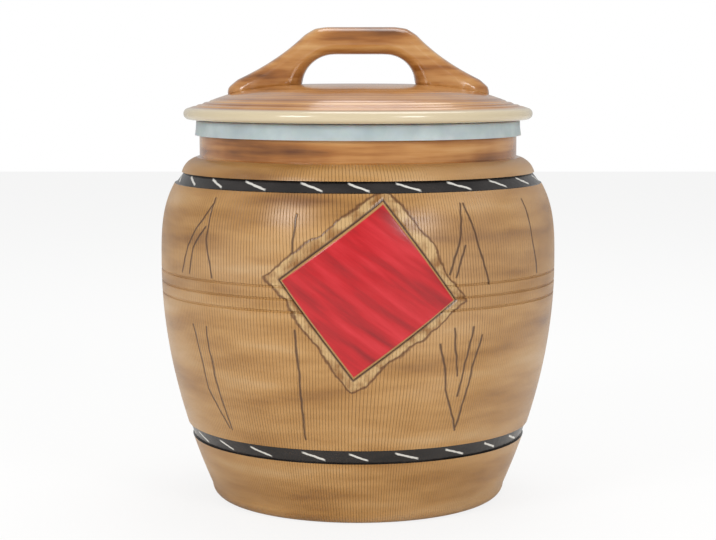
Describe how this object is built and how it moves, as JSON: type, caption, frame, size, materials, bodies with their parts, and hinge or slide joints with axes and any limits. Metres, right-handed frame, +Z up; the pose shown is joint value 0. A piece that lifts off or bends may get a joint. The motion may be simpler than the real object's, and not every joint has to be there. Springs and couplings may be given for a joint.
{
  "type": "rice storage jar",
  "caption": "Barrel-shaped stoneware storage jar with a footed base, short neck, silicone gasket and lift-off domed lid with a bridge handle.",
  "frame": {"origin": "centre of the foot ring on the ground", "axes": "+Z up, -Y towards the plaque at the front, X along the handle"},
  "size_m": [0.28, 0.2822, 0.3334],
  "materials": {
    "jar_glaze": "glossy wood-brown glaze",
    "plaque_glaze": "brushed red glaze",
    "gasket": "translucent moulded silicone",
    "lid_glaze": "glossy streaked brown glaze",
    "handle_glaze": "glossy streaked amber glaze"
  },
  "bodies": {
    "jar": {"jar_body": "jar_glaze", "front_plaque": "plaque_glaze"},
    "gasket": {"gasket_ring": "gasket"},
    "lid": {"lid_cover": "lid_glaze", "lid_handle": "handle_glaze"}
  },
  "joints": [
    {"name": "gasket_pull_off", "type": "slide", "parent": "jar", "child": "gasket", "axis": [0, 0, 1], "range_m": [0, 0.06]},
    {"name": "lid_lift", "type": "slide", "parent": "gasket", "child": "lid", "axis": [0, 0, 1], "range_m": [0, 0.15]}
  ]
}
